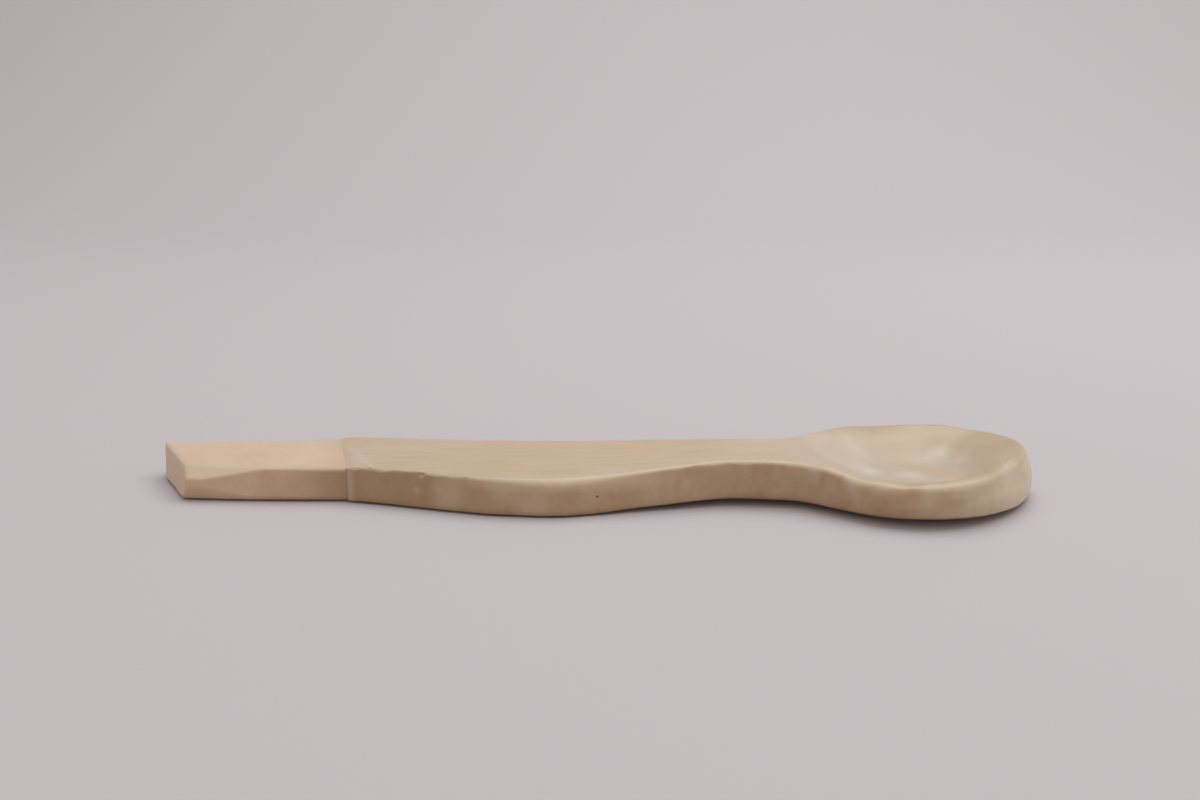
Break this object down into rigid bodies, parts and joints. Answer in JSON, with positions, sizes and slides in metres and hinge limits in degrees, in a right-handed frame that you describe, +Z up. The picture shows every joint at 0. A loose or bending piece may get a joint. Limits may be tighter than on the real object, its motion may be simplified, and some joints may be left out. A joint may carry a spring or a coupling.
{
  "type": "spoon",
  "caption": "Small hand-built stoneware spoon with a slab handle, an arched neck, a round shallow bowl and a satin glaze that leaves the handle's tip bare.",
  "frame": {"origin": "on the table, under the middle of the spoon's bounding box", "axes": "+X along the spoon from the handle's tip to the bowl, +Y to the side that is far from the viewer in the picture, +Z up"},
  "size_m": [0.141, 0.0362, 0.0079],
  "materials": {
    "bare_stoneware": "matt, finely sandy fired clay",
    "satin_glaze": "satin clear glaze, slightly clouded"
  },
  "bodies": {
    "root": {"stoneware_body": "bare_stoneware", "glaze_coat": "satin_glaze"}
  },
  "joints": []
}
